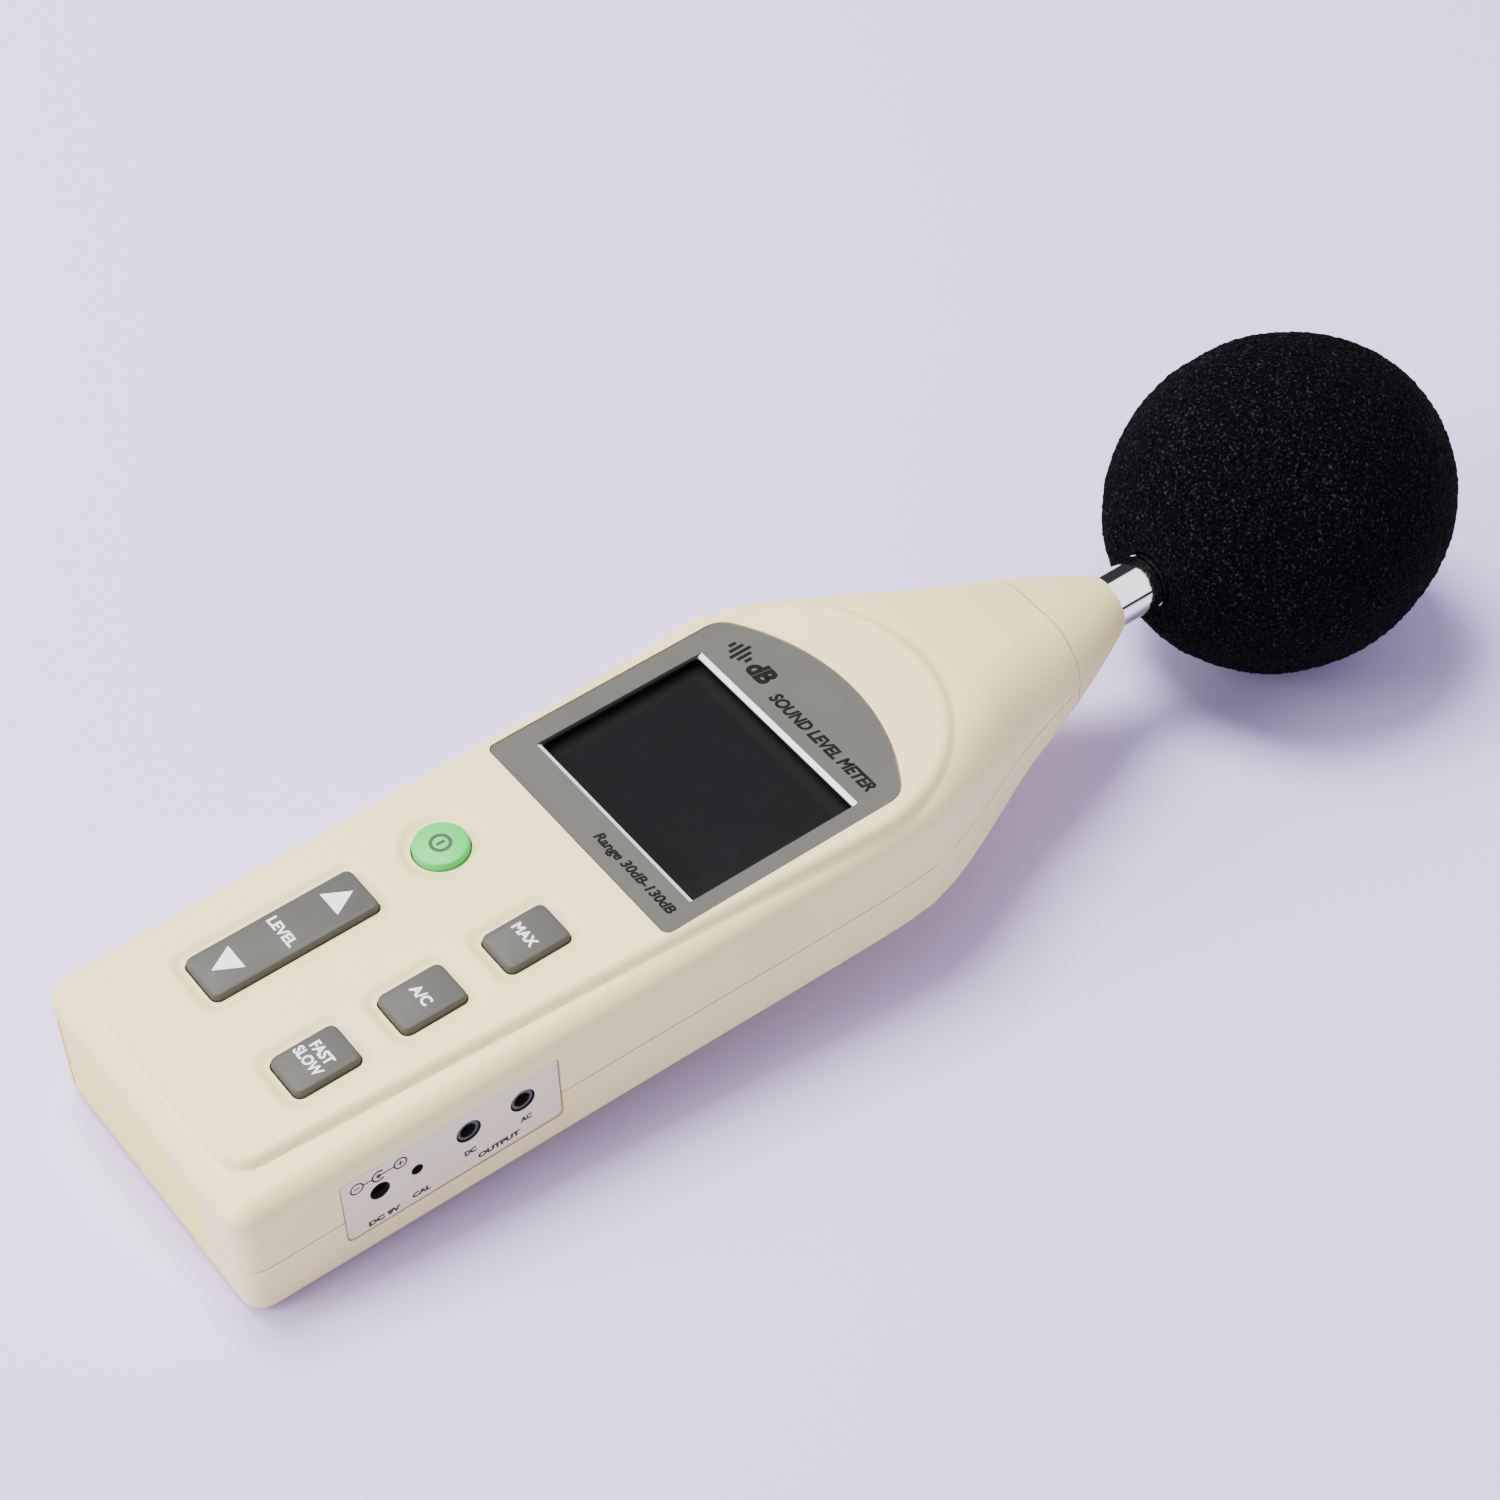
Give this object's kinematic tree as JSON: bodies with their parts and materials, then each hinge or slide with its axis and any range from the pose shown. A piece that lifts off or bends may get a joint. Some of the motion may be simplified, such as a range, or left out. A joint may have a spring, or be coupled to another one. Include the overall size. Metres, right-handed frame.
{
  "type": "sound level meter",
  "caption": "Hand-held sound level meter with a sloping nose, display, sprung keys, side sockets, microphone tube and foam ball windscreen.",
  "frame": {"origin": "on the flat back face of the rear shell, on the plane of symmetry", "axes": "+Y along the microphone, away from the grip; +Z out of the keypad face; +X to the side with the sockets"},
  "size_m": [0.076, 0.3362, 0.0759],
  "materials": {
    "cream_plastic": "moulded cream ABS, fine satin texture",
    "end_plastic": "moulded yellowish plastic, satin",
    "side_panel_plastic": "moulded cream plastic, satin",
    "panel_plastic": "grey coated panel, satin",
    "key_plastic": "moulded grey key plastic, satin",
    "power_key_plastic": "moulded green key plastic, satin",
    "lcd_glass": "dark display behind a polariser",
    "clear_lens": "clear polished acrylic",
    "black_plastic": "moulded black plastic",
    "black_rubber": "moulded black rubber",
    "circuit_board": "green solder mask",
    "bright_metal": "plated steel",
    "chrome_metal": "polished chrome",
    "brass_metal": "turned brass",
    "blue_plastic": "blue moulded plastic and sleeve",
    "red_sleeve": "red wire sleeve",
    "battery_case": "printed metal jacket, plain",
    "black_foam": "open-cell black foam"
  },
  "bodies": {
    "housing": {"front_shell": "cream_plastic", "rear_shell": "cream_plastic", "nose_cap": "cream_plastic", "end_plate": "end_plastic", "jack_plate": "side_panel_plastic", "display_panel": "panel_plastic", "lcd_module": "lcd_glass", "window_lens": "clear_lens", "lcd_frame": "black_plastic", "switch_power": "black_plastic", "switch_max": "black_plastic", "switch_weighting": "black_plastic", "switch_response": "black_plastic", "switch_level_up": "black_plastic", "switch_level_down": "black_plastic", "dc_output_jack": "black_plastic", "ac_output_jack": "black_plastic", "dc_power_socket": "black_plastic", "microcontroller": "black_plastic", "rms_converter": "black_plastic", "amplifier_chip": "black_plastic", "mic_capsule": "black_plastic", "mic_cable": "black_plastic", "battery_lead_negative": "black_plastic", "zebra_strip_upper": "black_rubber", "zebra_strip_lower": "black_rubber", "mic_seal": "black_rubber", "battery_snap": "black_rubber", "main_board": "circuit_board", "preamp_board": "circuit_board", "crystal": "bright_metal", "case_screw_1": "bright_metal", "case_screw_2": "bright_metal", "case_screw_3": "bright_metal", "case_screw_4": "bright_metal", "board_screw_1": "bright_metal", "board_screw_2": "bright_metal", "board_screw_3": "bright_metal", "board_screw_4": "bright_metal", "mic_tube": "chrome_metal", "mic_grid": "chrome_metal", "tripod_bush": "brass_metal", "trimmer_body": "blue_plastic", "capacitor_input": "blue_plastic", "capacitor_supply": "blue_plastic", "battery_lead_positive": "red_sleeve", "battery": "battery_case", "battery_pad": "black_foam"},
    "power_key": {"power_key": "power_key_plastic"},
    "level_rocker": {"level_rocker": "key_plastic"},
    "max_key": {"max_key": "key_plastic"},
    "weighting_key": {"weighting_key": "key_plastic"},
    "response_key": {"response_key": "key_plastic"},
    "trimmer_rotor": {"trimmer_rotor": "brass_metal"},
    "windscreen": {"windscreen": "black_foam"},
    "battery_cover": {"battery_cover": "cream_plastic"}
  },
  "joints": [
    {"name": "power_key_press", "type": "slide", "parent": "housing", "child": "power_key", "axis": [0, 0, -1], "range_m": [0, 0.0008], "stiffness_N_per_m": 1500, "springref_m": -0.0003},
    {"name": "max_key_press", "type": "slide", "parent": "housing", "child": "max_key", "axis": [0, 0, -1], "range_m": [0, 0.0008], "stiffness_N_per_m": 1500, "springref_m": -0.0003},
    {"name": "weighting_key_press", "type": "slide", "parent": "housing", "child": "weighting_key", "axis": [0, 0, -1], "range_m": [0, 0.0008], "stiffness_N_per_m": 1500, "springref_m": -0.0003},
    {"name": "response_key_press", "type": "slide", "parent": "housing", "child": "response_key", "axis": [0, 0, -1], "range_m": [0, 0.0008], "stiffness_N_per_m": 1500, "springref_m": -0.0003},
    {"name": "level_rocker_tip", "type": "hinge", "parent": "housing", "child": "level_rocker", "pos_m": [-0.015, -0.0614, 0.0315], "axis": [1, 0, 0], "range_deg": [-3, 3], "stiffness_Nm_per_rad": 0.4},
    {"name": "trimmer_turn", "type": "hinge", "parent": "housing", "child": "trimmer_rotor", "pos_m": [0.0339, -0.0658, 0.0168], "axis": [1, 0, 0], "range_deg": [-135, 135]},
    {"name": "windscreen_pull", "type": "slide", "parent": "housing", "child": "windscreen", "axis": [0, 1, 0], "range_m": [0, 0.05]},
    {"name": "battery_cover_slide", "type": "slide", "parent": "housing", "child": "battery_cover", "axis": [0, -1, 0], "range_m": [0, 0.06]}
  ]
}
